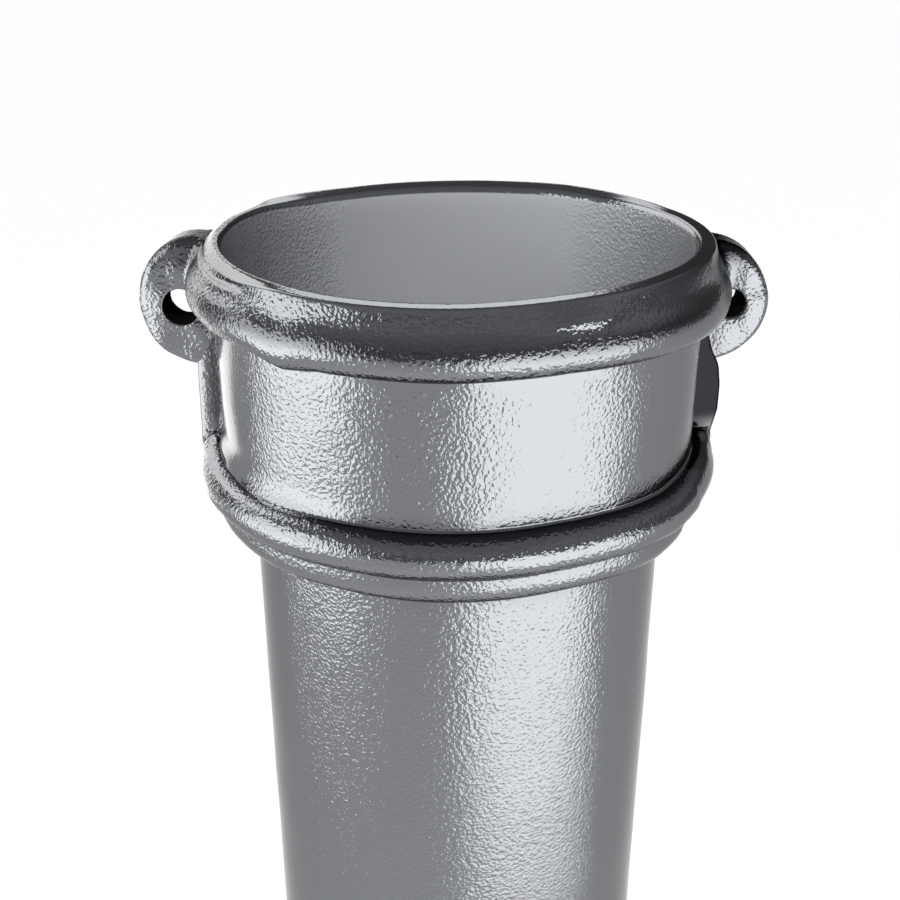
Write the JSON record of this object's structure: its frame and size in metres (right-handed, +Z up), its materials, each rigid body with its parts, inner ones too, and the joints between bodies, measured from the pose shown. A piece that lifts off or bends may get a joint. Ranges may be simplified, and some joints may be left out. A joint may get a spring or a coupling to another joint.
{
  "type": "cast iron downpipe",
  "caption": "Round cast iron rainwater downpipe with a plain spigot end and a moulded, eared socket with front-to-back fixing holes.",
  "frame": {"origin": "centre of the spigot's end face, on the pipe's axis, where the pipe stands", "axes": "+Z up the pipe's axis to the socket rim, +Y towards the wall, X across the two ears"},
  "size_m": [0.1598, 0.133, 0.914],
  "materials": {
    "cast_iron": "glossy grey metallic paint over a rough as-cast skin"
  },
  "bodies": {
    "root": {"downpipe": "cast_iron"}
  },
  "joints": []
}
